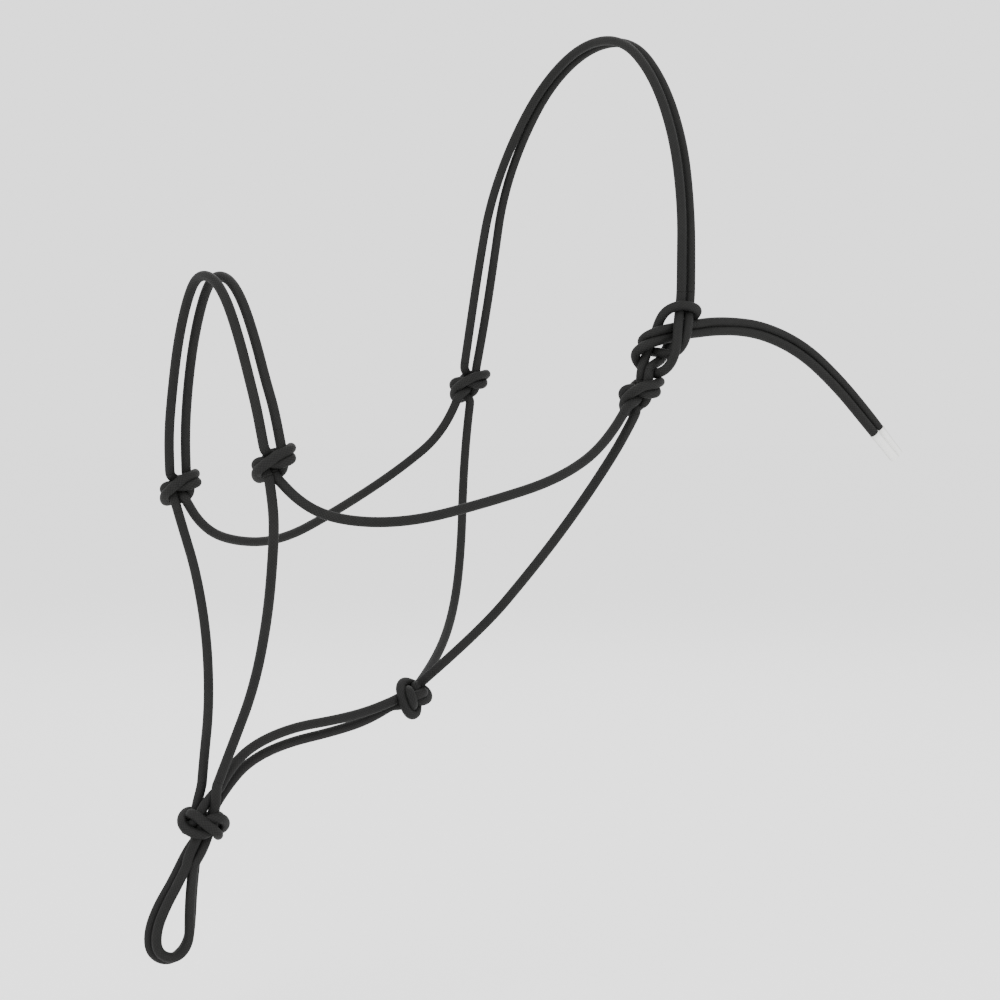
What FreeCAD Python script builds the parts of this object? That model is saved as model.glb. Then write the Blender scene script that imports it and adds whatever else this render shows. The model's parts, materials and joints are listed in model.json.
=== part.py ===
"""Rope halter for a horse: one long rope, knotted into a headstall.

Origin: underside of the crown at the poll. +Z up, -Y towards the nose,
+X towards the horse's left side, where the crown is tied. Millimetres.
"""
import FreeCAD, Part
import Sketcher
import math
import os

Vector = FreeCAD.Vector
os.makedirs("parts", exist_ok=True)
doc = FreeCAD.newDocument("rope_halter")

sheet = doc.addObject("Spreadsheet::Sheet", "Sizes")
SIZES = [
    ("rope_diameter", 6.35, "1/4 inch braided halter rope"),
    ("knot_long", 11.0, "half length of a doubled overhand knot's core"),
    ("knot_wide", 10.0, "half width of its core"),
    ("knot_wrap", 9.6, "centre line radius of the rope wrapped round it"),
    ("knot_wrap_offset", 3.3, "distance of each wrap from the knot's middle"),
    ("knot_slant", 24.0, "tilt of its wraps across the ropes, degrees"),
    ("fiador_long", 14.0, "half height of the fiador knot's core"),
    ("fiador_wide", 15.5, "half width of its core"),
    ("fiador_wrap", 15.6, "centre line radius of its wraps"),
    ("fiador_wrap_offset", 4.0, "distance of each wrap from its middle"),
    ("fiador_slant", 0.0, "its wraps lie square across the ropes, degrees"),
    ("tip_diameter", 7.0, "sleeve shrunk over a rope end"),
    ("tip_length", 25.0, "length of the sleeve"),
]
for row, (alias, value, note) in enumerate(SIZES, start=1):
    sheet.set("A%d" % row, note)
    sheet.set("B%d" % row, str(value))
    sheet.setAlias("B%d" % row, alias)
doc.recompute()
ROPE_RADIUS = sheet.rope_diameter / 2.0

# Knots, name: (centre, direction from the upper ropes to the lower ropes, outward face)
KNOTS = {
    "right_nose_knot": ((-69, -304, -312), (0.00, 0.05, -1.0), (-1.0, 0.3, 0)),
    "left_nose_knot": ((69, -304, -294), (0.00, 0.10, -1.0), (1.0, -0.3, 0)),
    "right_cheek_knot": ((-107, -49, -240), (0.00, -0.2, -1.0), (-1.0, 0.3, 0)),
    "left_cheek_knot": ((107, -49, -249), (0.00, -0.2, -1.0), (1.0, -0.3, 0)),
    "throat_knot": ((0, -167, -453), (0.00, -0.86, -0.5), (1.0, 0, 0)),
    "fiador_knot": ((0, -319, -527), (0.00, -0.15, -1.0), (1.0, 0, 0)),
}
OVERHAND_CELLS = ("knot_long", "knot_wide", "knot_wrap", "knot_wrap_offset", "knot_slant")
FIADOR_CELLS = ("fiador_long", "fiador_wide", "fiador_wrap", "fiador_wrap_offset", "fiador_slant")

# Corner points of each stretch of rope, from knot to knot.
ROUTES = {
    "crown_strand_front": [
        (-107, -52, -222), (-109, -46, -194), (-111, -37, -150), (-107, -30, -104),
        (-92, -19, -57), (-66, -9, -18), (-24, -4, 5), (22, -2, 3), (58, -2, -27),
        (86, -5, -72), (103, -11, -122), (108, -15, -166), (109, -16, -190)],
    "crown_strand_rear": [
        (-107, -41, -222), (-108, -34, -193), (-109, -25, -146), (-105, -20, -100),
        (-91, -11, -56), (-65, -2, -17), (-24, 5, 5), (22, 8, 2), (57, 8, -30),
        (84, 5, -76), (101, -1, -124), (108, -6, -166), (109, -8, -190)],
    "right_cheek_strand": [
        (-67, -299, -320), (-71, -291, -334), (-82, -264, -350), (-101, -212, -354),
        (-114, -156, -332), (-118, -103, -304), (-112, -66, -275), (-107, -58, -249)],
    "left_cheek_strand": [
        (69, -300, -303), (74, -292, -316), (86, -269, -330), (104, -227, -332),
        (115, -172, -319), (119, -121, -305), (113, -80, -283), (108, -61, -260)],
    "right_chin_strand": [
        (-69, -306, -322), (-70, -300, -340), (-64, -293, -370), (-50, -292, -412),
        (-30, -300, -456), (-12, -313, -490), (-4, -319, -514)],
    "left_chin_strand": [
        (69, -306, -304), (70, -303, -322), (69, -303, -348), (57, -301, -391),
        (36, -300, -437), (14, -305, -477), (5, -315, -511)],
    "upper_curb_strand": [
        (3, -178, -457), (3, -192, -462), (3, -220, -467), (3, -258, -470),
        (3, -289, -481), (3, -306, -499), (2, -313, -514)],
    "lower_curb_strand": [
        (-4, -179, -463), (-4, -193, -470), (-4, -221, -476), (-4, -258, -481),
        (-4, -285, -491), (-4, -301, -507), (-3, -309, -517)],
    "right_throat_strand": [
        (-107, -47, -249), (-109, -49, -270), (-107, -54, -312), (-92, -65, -361),
        (-64, -88, -402), (-31, -121, -432), (-6, -151, -446)],
    "left_throat_strand": [
        (107, -50, -259), (105, -59, -277), (97, -77, -308), (80, -93, -341),
        (60, -107, -371), (34, -126, -408), (6, -150, -440)],
    "front_noseband_strand": [
        (-69, -310, -294), (-66, -312, -278), (-57, -313, -246), (-43, -315, -214),
        (-26, -316, -187), (-9, -317, -174), (13, -317, -176), (30, -316, -190),
        (44, -314, -215), (56, -312, -244), (63, -311, -261), (67, -310, -276)],
    "rear_noseband_strand": [
        (-69, -298, -294), (-66, -300, -278), (-57, -302, -246), (-43, -304, -214),
        (-26, -305, -187), (-9, -306, -174), (13, -306, -176), (30, -305, -190),
        (44, -303, -215), (56, -301, -244), (63, -299, -261), (67, -298, -276)],
    "left_lead_loop": [
        (4, -332, -552), (4, -338, -563), (4, -347, -577), (4, -354, -592),
        (4, -354, -607), (4, -341, -613), (4, -331, -604), (4, -331, -586),
        (4, -330, -568), (4, -328, -553)],
    "right_lead_loop": [
        (-4, -333, -553), (-4, -339, -564), (-4, -349, -578), (-4, -356, -594),
        (-4, -355, -609), (-4, -341, -616), (-4, -328, -606), (-4, -326, -588),
        (-4, -325, -569), (-4, -323, -554)],
    "eye_loop": [
        (107, -52, -233), (109, -53, -222), (113, -49, -207), (118, -42, -195),
        (119, -28, -189), (118, -13, -187), (112, -2, -188), (104, -3, -197),
        (101, -12, -208), (101, -26, -218), (104, -37, -225), (107, -43, -233)],
    "front_tie_strand": [
        (109, -16, -190), (111, -20, -198), (118, -26, -206), (118, -26, -218),
        (116, -28, -229), (108, -35, -234), (99, -43, -233), (99, -51, -224),
        (107, -54, -214), (113, -42, -213), (110, -24, -210), (109, -8, -208)],
    "rear_tie_strand": [
        (109, -8, -190), (111, -10, -198), (117, -15, -206), (117, -15, -216),
        (113, -17, -227), (104, -26, -231), (95, -36, -227), (95, -46, -216),
        (104, -50, -207), (112, -40, -206), (110, -24, -203), (109, -8, -200)],
    "upper_tail": [
        (111, 4, -199), (113, 21, -198), (116, 52, -202), (119, 86, -216),
        (121, 116, -239), (123, 142, -264), (124, 151, -274)],
    "lower_tail": [
        (111, 4, -207), (113, 21, -207), (117, 49, -210), (120, 80, -223),
        (122, 108, -248), (124, 134, -272), (125, 143, -280)],
}
TIPS = {
    "upper_tip": ("upper_tail", (124, 172, -294)),
    "lower_tip": ("lower_tail", (125, 163, -299)),
}
ARC_SHARE = 0.45            # an arc uses this share of the shorter of its two runs
VOLUME_TOLERANCE = 0.01     # a swept strand may be this much off its length times its section


def routeWire(points):
    """Straight runs joined by tangent arcs, with the arcs' radii."""
    corners = [Vector(*p) for p in points]
    edges, radii = [], []
    start = corners[0]
    for before, corner, after in zip(corners, corners[1:], corners[2:]):
        into = (corner - before).normalize()
        out = (after - corner).normalize()
        turn = into.getAngle(out)
        shorter = min((corner - before).Length, (after - corner).Length)
        setback = ARC_SHARE * shorter
        radius = setback / math.tan(turn / 2.0)
        arcStart = corner - into * setback
        arcEnd = corner + out * setback
        inward = (out - into).normalize()
        toMiddle = radius / math.cos(turn / 2.0) - radius
        arcMiddle = corner + inward * toMiddle
        edges.append(Part.LineSegment(start, arcStart).toShape())
        edges.append(Part.Arc(arcStart, arcMiddle, arcEnd).toShape())
        start = arcEnd
        radii.append(radius)
    edges.append(Part.LineSegment(start, corners[-1]).toShape())
    return Part.Wire(edges), radii


def facing(position, direction):
    """Placement that puts local Z along a direction, at a position."""
    turn = FreeCAD.Rotation(Vector(0, 0, 1), Vector(*direction))
    return FreeCAD.Placement(Vector(*position), turn)


def addStrand(name, points):
    """A rope stretch: a circle of the rope's size swept along its route."""
    wire, radii = routeWire(points)
    route = doc.addObject("Part::Feature", name + "_route")
    route.Shape = wire
    section = doc.addObject("Part::Circle", name + "_section")
    section.setExpression("Radius", "Sizes.rope_diameter / 2")
    section.Placement = facing(points[0], Vector(*points[1]) - Vector(*points[0]))
    strand = doc.addObject("Part::Sweep", name)
    strand.Sections = [section]
    strand.Spine = (route, ["Edge%d" % (i + 1) for i in range(len(wire.Edges))])
    strand.Solid = True
    strand.Frenet = False
    print("%-24s length %5.0f  radii %s" % (name, wire.Length, [round(r) for r in radii]))
    return strand, wire.Length


def knotPlacement(centre, down, outward):
    """Local Z runs up the ropes, local X faces outward from the head."""
    up = (Vector(*down) * -1).normalize()
    face = Vector(*outward)
    across = up.cross(face).normalize()
    face = across.cross(up)
    turn = FreeCAD.Rotation(face, across, up, "ZXY")
    return FreeCAD.Placement(Vector(*centre), turn)


def addKnot(name, at, cells):
    """A round core with two wraps of rope about it, slanted across the ropes."""
    long, wide, wrap, offset, slant = cells
    tilt = FreeCAD.Rotation(Vector(1, 0, 0), sheet.get(slant))
    tilted = at.multiply(FreeCAD.Placement(Vector(), tilt))
    core = doc.addObject("Part::Ellipsoid", name + "_core")
    core.setExpression("Radius1", "Sizes." + long)
    core.setExpression("Radius2", "Sizes." + wide)
    core.setExpression("Radius3", "Sizes." + wide)
    core.Placement = tilted
    pieces = [core]
    for side in (-1, 1):
        ring = doc.addObject("Part::Torus", "%s_wrap%d" % (name, side + 2))
        ring.setExpression("Radius1", "Sizes." + wrap)
        ring.setExpression("Radius2", "Sizes.rope_diameter / 2")
        shift = FreeCAD.Placement(Vector(0, 0, side * sheet.get(offset)), FreeCAD.Rotation())
        ring.Placement = tilted.multiply(shift)
        pieces.append(ring)
    knot = doc.addObject("Part::MultiFuse", name)
    knot.Shapes = pieces
    return knot


def addTip(name, start, end):
    """Sleeve shrunk over a rope end, turned about its own axis."""
    body = doc.addObject("PartDesign::Body", name)
    sketch = body.newObject("Sketcher::SketchObject", name + "_outline")
    plane = [f for f in body.Origin.OriginFeatures if f.Role == "XZ_Plane"][0]
    sketch.AttachmentSupport = [(plane, "")]
    sketch.MapMode = "FlatFace"
    outer = sheet.tip_diameter / 2.0
    length = sheet.tip_length
    corners = [(0, 0), (outer, 0), (outer, length), (0, length)]
    lines = []
    for i, (x, y) in enumerate(corners):
        nextX, nextY = corners[(i + 1) % 4]
        lines.append(sketch.addGeometry(
            Part.LineSegment(Vector(x, y, 0), Vector(nextX, nextY, 0)), False))
    for i in range(4):
        sketch.addConstraint(Sketcher.Constraint("Coincident", i, 2, (i + 1) % 4, 1))
    sketch.addConstraint(Sketcher.Constraint("Coincident", 0, 1, -1, 1))
    sketch.addConstraint(Sketcher.Constraint("Horizontal", 0))
    sketch.addConstraint(Sketcher.Constraint("Horizontal", 2))
    sketch.addConstraint(Sketcher.Constraint("Vertical", 1))
    sketch.addConstraint(Sketcher.Constraint("Vertical", 3))
    radius = sketch.addConstraint(Sketcher.Constraint("DistanceX", 0, 1, 0, 2, outer))
    height = sketch.addConstraint(Sketcher.Constraint("DistanceY", 1, 1, 1, 2, length))
    sketch.setExpression("Constraints[%d]" % radius, "Sizes.tip_diameter / 2")
    sketch.setExpression("Constraints[%d]" % height, "Sizes.tip_length")
    turned = body.newObject("PartDesign::Revolution", name + "_turned")
    turned.Profile = sketch
    turned.ReferenceAxis = (sketch, ["V_Axis"])
    turned.Angle = 360
    body.Placement = facing(start, Vector(*end) - Vector(*start))
    return body


nodes = {}
lengths = {}
for name, points in ROUTES.items():
    nodes[name], lengths[name] = addStrand(name, points)
for name, (centre, down, outward) in KNOTS.items():
    cells = FIADOR_CELLS if name == "fiador_knot" else OVERHAND_CELLS
    nodes[name] = addKnot(name, knotPlacement(centre, down, outward), cells)
for name, (tail, end) in TIPS.items():
    nodes[name] = addTip(name, ROUTES[tail][-1], end)
doc.recompute()

for item in doc.Objects:
    if "Invalid" in item.State or "Error" in item.State:
        raise RuntimeError("%s did not build: %s" % (item.Name, item.State))
for name, length in lengths.items():
    expected = math.pi * ROPE_RADIUS ** 2 * length
    off = nodes[name].Shape.Volume / expected - 1.0
    if abs(off) > VOLUME_TOLERANCE:
        raise RuntimeError("%s has %.1f%% too much volume" % (name, 100 * off))
for name, node in nodes.items():
    node.Label = name
    if node.Shape.isNull() or not node.Shape.isValid():
        raise RuntimeError("%s has no valid shape" % name)
    node.Shape.exportStep("parts/%s.step" % name)
print("rope in the strands: %.0f mm" % sum(lengths.values()))
print("%d parts" % len(nodes))
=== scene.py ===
# Rope halter: the looks of one long braided rope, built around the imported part. All sizes are in metres.
import bpy
import itertools
import json
import math
import numpy as np
from mathutils import Vector
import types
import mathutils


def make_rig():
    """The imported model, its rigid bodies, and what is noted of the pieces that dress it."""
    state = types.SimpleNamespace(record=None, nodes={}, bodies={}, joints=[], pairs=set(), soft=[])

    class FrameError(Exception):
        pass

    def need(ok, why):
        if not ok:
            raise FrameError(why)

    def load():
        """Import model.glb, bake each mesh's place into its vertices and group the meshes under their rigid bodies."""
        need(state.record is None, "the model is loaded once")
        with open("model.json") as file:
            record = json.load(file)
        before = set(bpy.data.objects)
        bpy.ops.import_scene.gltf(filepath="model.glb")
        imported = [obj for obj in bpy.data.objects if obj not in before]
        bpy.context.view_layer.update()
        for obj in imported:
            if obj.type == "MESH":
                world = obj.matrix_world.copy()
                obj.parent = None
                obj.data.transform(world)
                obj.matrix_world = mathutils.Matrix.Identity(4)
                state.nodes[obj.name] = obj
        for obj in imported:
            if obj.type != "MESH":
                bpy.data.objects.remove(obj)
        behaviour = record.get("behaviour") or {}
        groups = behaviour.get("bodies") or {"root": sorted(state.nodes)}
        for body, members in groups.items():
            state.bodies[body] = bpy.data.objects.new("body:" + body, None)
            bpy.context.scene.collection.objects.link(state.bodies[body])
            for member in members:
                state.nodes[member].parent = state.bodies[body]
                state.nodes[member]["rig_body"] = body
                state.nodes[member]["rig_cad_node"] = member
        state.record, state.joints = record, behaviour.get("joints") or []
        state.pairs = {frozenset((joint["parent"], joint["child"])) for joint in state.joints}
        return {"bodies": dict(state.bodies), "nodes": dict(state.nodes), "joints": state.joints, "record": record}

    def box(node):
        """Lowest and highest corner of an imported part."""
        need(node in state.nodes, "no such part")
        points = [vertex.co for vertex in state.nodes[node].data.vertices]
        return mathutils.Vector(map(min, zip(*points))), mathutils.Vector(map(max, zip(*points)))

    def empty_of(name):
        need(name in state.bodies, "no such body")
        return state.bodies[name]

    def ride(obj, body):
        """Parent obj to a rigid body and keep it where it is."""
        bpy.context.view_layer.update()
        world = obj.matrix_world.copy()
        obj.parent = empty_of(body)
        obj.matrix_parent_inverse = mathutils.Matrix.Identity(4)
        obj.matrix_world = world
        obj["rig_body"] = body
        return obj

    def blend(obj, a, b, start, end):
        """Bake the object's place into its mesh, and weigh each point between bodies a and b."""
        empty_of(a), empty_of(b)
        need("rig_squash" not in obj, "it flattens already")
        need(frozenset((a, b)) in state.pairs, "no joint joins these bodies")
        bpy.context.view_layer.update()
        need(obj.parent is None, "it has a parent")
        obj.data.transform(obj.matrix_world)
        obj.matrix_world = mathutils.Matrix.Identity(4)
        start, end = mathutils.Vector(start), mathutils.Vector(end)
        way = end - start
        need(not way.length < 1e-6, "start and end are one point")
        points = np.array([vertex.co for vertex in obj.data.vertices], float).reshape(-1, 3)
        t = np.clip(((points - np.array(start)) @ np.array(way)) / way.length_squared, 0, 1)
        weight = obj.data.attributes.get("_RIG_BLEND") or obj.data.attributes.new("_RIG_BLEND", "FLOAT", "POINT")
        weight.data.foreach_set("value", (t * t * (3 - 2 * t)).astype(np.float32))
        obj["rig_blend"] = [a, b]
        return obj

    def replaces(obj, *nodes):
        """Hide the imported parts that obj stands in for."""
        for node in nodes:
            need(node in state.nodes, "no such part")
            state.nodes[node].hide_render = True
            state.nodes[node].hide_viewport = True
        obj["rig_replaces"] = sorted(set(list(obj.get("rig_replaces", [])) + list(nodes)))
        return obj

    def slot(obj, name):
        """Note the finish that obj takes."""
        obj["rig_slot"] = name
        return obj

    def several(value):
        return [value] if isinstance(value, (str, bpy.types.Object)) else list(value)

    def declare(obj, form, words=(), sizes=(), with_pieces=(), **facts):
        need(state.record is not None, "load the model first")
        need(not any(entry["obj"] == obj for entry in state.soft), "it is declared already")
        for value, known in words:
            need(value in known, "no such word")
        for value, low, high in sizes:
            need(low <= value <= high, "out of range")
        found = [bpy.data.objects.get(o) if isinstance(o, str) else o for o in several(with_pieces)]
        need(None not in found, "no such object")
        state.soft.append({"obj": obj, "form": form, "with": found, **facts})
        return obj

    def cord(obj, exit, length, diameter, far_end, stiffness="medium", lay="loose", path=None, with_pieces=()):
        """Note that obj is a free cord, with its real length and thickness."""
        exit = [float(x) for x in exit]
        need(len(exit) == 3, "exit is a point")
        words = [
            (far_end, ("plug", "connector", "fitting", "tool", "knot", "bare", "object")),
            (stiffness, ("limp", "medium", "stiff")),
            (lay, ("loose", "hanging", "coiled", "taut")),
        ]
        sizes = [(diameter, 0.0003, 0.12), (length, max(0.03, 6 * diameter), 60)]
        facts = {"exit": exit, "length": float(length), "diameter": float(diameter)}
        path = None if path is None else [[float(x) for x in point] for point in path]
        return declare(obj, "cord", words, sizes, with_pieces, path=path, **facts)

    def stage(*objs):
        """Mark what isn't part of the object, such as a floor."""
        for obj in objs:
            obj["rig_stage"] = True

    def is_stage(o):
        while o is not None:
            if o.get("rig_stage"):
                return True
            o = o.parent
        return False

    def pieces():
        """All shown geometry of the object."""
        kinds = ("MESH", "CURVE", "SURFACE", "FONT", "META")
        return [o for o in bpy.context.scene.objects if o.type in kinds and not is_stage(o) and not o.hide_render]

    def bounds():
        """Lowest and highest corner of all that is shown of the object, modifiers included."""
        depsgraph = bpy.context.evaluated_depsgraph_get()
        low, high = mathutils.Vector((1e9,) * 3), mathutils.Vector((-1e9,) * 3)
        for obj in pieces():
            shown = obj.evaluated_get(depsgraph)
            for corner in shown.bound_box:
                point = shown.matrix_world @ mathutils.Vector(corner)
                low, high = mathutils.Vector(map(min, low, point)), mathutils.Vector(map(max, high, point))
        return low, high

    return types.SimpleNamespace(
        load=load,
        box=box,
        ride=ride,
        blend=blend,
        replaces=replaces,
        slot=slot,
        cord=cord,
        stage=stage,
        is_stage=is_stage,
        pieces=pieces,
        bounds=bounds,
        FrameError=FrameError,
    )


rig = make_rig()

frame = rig.load()
cadBox = [list(map(float, corner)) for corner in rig.bounds()]
joints = {joint["name"]: joint for joint in frame["joints"]}
bodyOf = {node: body for body, nodes in frame["record"]["behaviour"]["bodies"].items() for node in nodes}
print("frame loaded:", len(bodyOf), "nodes")

# Camera: azimuth is counted from the nose side (-Y) towards the horse's left (+X)
shot = {"target": (0.0363, -0.1141, -0.3215), "azimuth": 57.0, "elevation": 2.0, "distance": 1.5,
        "lens": 79.5}


def addCamera(shot):
    # the camera stands on a sphere about its target and looks back at it
    azimuth, elevation = math.radians(shot["azimuth"]), math.radians(shot["elevation"])
    away = Vector((math.sin(azimuth) * math.cos(elevation), -math.cos(azimuth) * math.cos(elevation),
                   math.sin(elevation)))
    data = bpy.data.cameras.new("camera")
    data.lens = shot["lens"]
    camera = bpy.data.objects.new("camera", data)
    camera.location = Vector(shot["target"]) + away * shot["distance"]
    camera.rotation_euler = (-away).to_track_quat("-Z", "Y").to_euler()
    bpy.context.scene.collection.objects.link(camera)
    bpy.context.scene.camera = camera
    return away


towardCamera = addCamera(shot)

# The rope, a little fuller than its diameter. The braid has this many yarn crossings round it, each as long
# as braidCell along it. A yarn's dome is narrowed by domeWidth and bows along it by runBow half turns.
rope = {"diameter": 0.00635, "fullness": 1.03, "around": 44, "step": 0.0007, "crossings": 10,
        "braidCell": 0.0021, "braidRelief": 0.00012, "reliefMiddle": 0.6, "domeWidth": 1.9, "runBow": 0.85,
        "workStep": 0.0026, "trimStep": 0.0012, "ease": 16}

# Where each stretch of it runs, from knot to knot, as the control points of one smooth curve
routes = {
    "crown_strand_front": [
        (-0.107, -0.052, -0.222), (-0.109, -0.046, -0.194), (-0.111, -0.037, -0.15),
        (-0.107, -0.03, -0.104), (-0.092, -0.019, -0.057), (-0.066, -0.009, -0.018),
        (-0.024, -0.004, 0.005), (0.022, -0.002, 0.003), (0.058, -0.002, -0.027),
        (0.086, -0.005, -0.072), (0.103, -0.0105, -0.122), (0.108, -0.0148, -0.166),
        (0.109, -0.0158, -0.19)],
    "crown_strand_rear": [
        (-0.107, -0.041, -0.222), (-0.108, -0.034, -0.193), (-0.109, -0.025, -0.146),
        (-0.105, -0.02, -0.1), (-0.091, -0.011, -0.056), (-0.065, -0.002, -0.017),
        (-0.024, 0.005, 0.005), (0.022, 0.008, 0.002), (0.057, 0.008, -0.03), (0.084, 0.005, -0.076),
        (0.101, -0.002, -0.124), (0.108, -0.0068, -0.166), (0.109, -0.0081, -0.19)],
    "right_cheek_strand": [
        (-0.067, -0.299, -0.32), (-0.071, -0.291, -0.334), (-0.082, -0.264, -0.35),
        (-0.101, -0.212, -0.354), (-0.114, -0.156, -0.332), (-0.118, -0.103, -0.304),
        (-0.112, -0.066, -0.275), (-0.107, -0.058, -0.249)],
    "left_cheek_strand": [
        (0.069, -0.3, -0.303), (0.074, -0.292, -0.316), (0.086, -0.269, -0.33),
        (0.104, -0.227, -0.332), (0.115, -0.172, -0.319), (0.119, -0.121, -0.305),
        (0.113, -0.08, -0.283), (0.108, -0.061, -0.26)],
    "right_chin_strand": [
        (-0.069, -0.306, -0.322), (-0.07, -0.3, -0.34), (-0.064, -0.293, -0.37),
        (-0.05, -0.292, -0.412), (-0.03, -0.3, -0.456), (-0.012, -0.313, -0.49),
        (-0.004, -0.319, -0.514)],
    "left_chin_strand": [
        (0.069, -0.306, -0.304), (0.07, -0.303, -0.322), (0.069, -0.303, -0.348),
        (0.057, -0.301, -0.391), (0.036, -0.3, -0.437), (0.014, -0.305, -0.477),
        (0.005, -0.315, -0.511)],
    "upper_curb_strand": [
        (0.003, -0.178, -0.457), (0.003, -0.192, -0.462), (0.003, -0.22, -0.467),
        (0.003, -0.258, -0.47), (0.003, -0.289, -0.481), (0.003, -0.306, -0.499),
        (0.002, -0.313, -0.514)],
    "lower_curb_strand": [
        (-0.004, -0.179, -0.463), (-0.004, -0.193, -0.47), (-0.004, -0.221, -0.476),
        (-0.004, -0.258, -0.481), (-0.004, -0.285, -0.491), (-0.004, -0.301, -0.507),
        (-0.003, -0.309, -0.517)],
    "right_throat_strand": [
        (-0.107, -0.047, -0.249), (-0.109, -0.049, -0.27), (-0.107, -0.054, -0.312),
        (-0.092, -0.065, -0.361), (-0.064, -0.088, -0.402), (-0.031, -0.121, -0.432),
        (-0.006, -0.151, -0.446)],
    "left_throat_strand": [
        (0.107, -0.05, -0.259), (0.105, -0.059, -0.277), (0.097, -0.077, -0.308),
        (0.08, -0.093, -0.341), (0.06, -0.107, -0.371), (0.034, -0.126, -0.408), (0.006, -0.15, -0.44)],
    "front_noseband_strand": [
        (-0.069, -0.31, -0.294), (-0.066, -0.312, -0.278), (-0.057, -0.313, -0.246),
        (-0.043, -0.315, -0.214), (-0.026, -0.316, -0.187), (-0.009, -0.317, -0.174),
        (0.013, -0.317, -0.176), (0.03, -0.316, -0.19), (0.044, -0.314, -0.215),
        (0.056, -0.312, -0.244), (0.063, -0.311, -0.261), (0.067, -0.31, -0.276)],
    "rear_noseband_strand": [
        (-0.069, -0.298, -0.294), (-0.066, -0.3, -0.278), (-0.057, -0.302, -0.246),
        (-0.043, -0.304, -0.214), (-0.026, -0.305, -0.187), (-0.009, -0.306, -0.174),
        (0.013, -0.306, -0.176), (0.03, -0.305, -0.19), (0.044, -0.303, -0.215),
        (0.056, -0.301, -0.244), (0.063, -0.299, -0.261), (0.067, -0.298, -0.276)],
    "left_lead_loop": [
        (0.004, -0.332, -0.552), (0.004, -0.338, -0.563), (0.004, -0.347, -0.577),
        (0.004, -0.354, -0.592), (0.004, -0.354, -0.607), (0.004, -0.341, -0.613),
        (0.004, -0.331, -0.604), (0.004, -0.331, -0.586), (0.004, -0.33, -0.568),
        (0.004, -0.328, -0.553)],
    "right_lead_loop": [
        (-0.004, -0.333, -0.553), (-0.004, -0.339, -0.564), (-0.004, -0.349, -0.578),
        (-0.004, -0.356, -0.594), (-0.004, -0.355, -0.609), (-0.004, -0.341, -0.616),
        (-0.004, -0.328, -0.606), (-0.004, -0.326, -0.588), (-0.004, -0.325, -0.569),
        (-0.004, -0.323, -0.554)],
    "eye_loop": [
        (0.1072, -0.047, -0.234), (0.1034, -0.0409, -0.226), (0.1019, -0.034, -0.215),
        (0.1027, -0.0309, -0.205), (0.1053, -0.0316, -0.198), (0.1088, -0.0307, -0.1923),
        (0.1125, -0.0242, -0.1898), (0.1172, -0.0141, -0.1902), (0.1177, -0.0061, -0.1925),
        (0.1124, -0.0014, -0.196), (0.1049, -0.0037, -0.2005), (0.1025, -0.0129, -0.207),
        (0.104, -0.0234, -0.216), (0.1069, -0.0337, -0.226), (0.1111, -0.0429, -0.234)],
    "front_tie_strand": [
        (0.109, -0.016, -0.19), (0.1097, -0.0184, -0.195), (0.1147, -0.0226, -0.201),
        (0.12, -0.0273, -0.208), (0.1244, -0.0307, -0.217), (0.1261, -0.0336, -0.226),
        (0.1246, -0.0368, -0.233), (0.1189, -0.0391, -0.2375), (0.1096, -0.0396, -0.2375),
        (0.1001, -0.0405, -0.2335), (0.0954, -0.0441, -0.228), (0.098, -0.0493, -0.224),
        (0.1051, -0.0521, -0.2205), (0.1115, -0.0486, -0.2173), (0.112, -0.0387, -0.214),
        (0.1111, -0.0281, -0.2118), (0.111, -0.0172, -0.21), (0.1106, -0.0086, -0.2083)],
    "rear_tie_strand": [
        (0.109, -0.0081, -0.19), (0.111, -0.0109, -0.1945), (0.1156, -0.0148, -0.2005),
        (0.1202, -0.0187, -0.207), (0.1229, -0.022, -0.214), (0.1233, -0.0258, -0.22),
        (0.1209, -0.0296, -0.2245), (0.1149, -0.0323, -0.226), (0.1062, -0.0338, -0.2235),
        (0.0982, -0.0351, -0.22), (0.0949, -0.0384, -0.217), (0.098, -0.0428, -0.214),
        (0.1051, -0.0456, -0.212), (0.1116, -0.0439, -0.21), (0.1117, -0.0355, -0.2077),
        (0.1109, -0.0267, -0.2058), (0.1106, -0.017, -0.2038), (0.1106, -0.0086, -0.202)],
    "upper_tail": [
        (0.111, 0.004, -0.2010), (0.113, 0.021, -0.1998), (0.116, 0.052, -0.2026), (0.119, 0.086, -0.216),
        (0.121, 0.116, -0.239), (0.123, 0.142, -0.264), (0.124, 0.151, -0.274)],
    "lower_tail": [
        (0.111, 0.004, -0.2069), (0.113, 0.021, -0.2056), (0.117, 0.049, -0.2084), (0.12, 0.0815, -0.2213),
        (0.122, 0.112, -0.2445), (0.124, 0.137, -0.269), (0.125, 0.1455, -0.2775)],}

# One rope, tip to tip: each stretch with the direction it is followed in, and the knots between
ropeWay = [
    ("upper_tail", -1), ("rear_tie_strand", -1), ("crown_strand_rear", -1), "right_cheek_knot",
    ("right_throat_strand", 1), "throat_knot", ("lower_curb_strand", 1), "fiador_knot",
    ("right_lead_loop", -1), "fiador_knot", ("left_chin_strand", -1), "left_nose_knot",
    ("rear_noseband_strand", -1), "right_nose_knot", ("right_chin_strand", 1), "fiador_knot",
    ("left_lead_loop", 1), "fiador_knot", ("upper_curb_strand", -1), "throat_knot",
    ("left_throat_strand", -1), "left_cheek_knot", ("eye_loop", -1), "left_cheek_knot",
    ("left_cheek_strand", -1), "left_nose_knot", ("front_noseband_strand", -1), "right_nose_knot",
    ("right_cheek_strand", 1), "right_cheek_knot", ("crown_strand_front", 1), ("front_tie_strand", 1),
    ("lower_tail", 1)]

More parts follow.
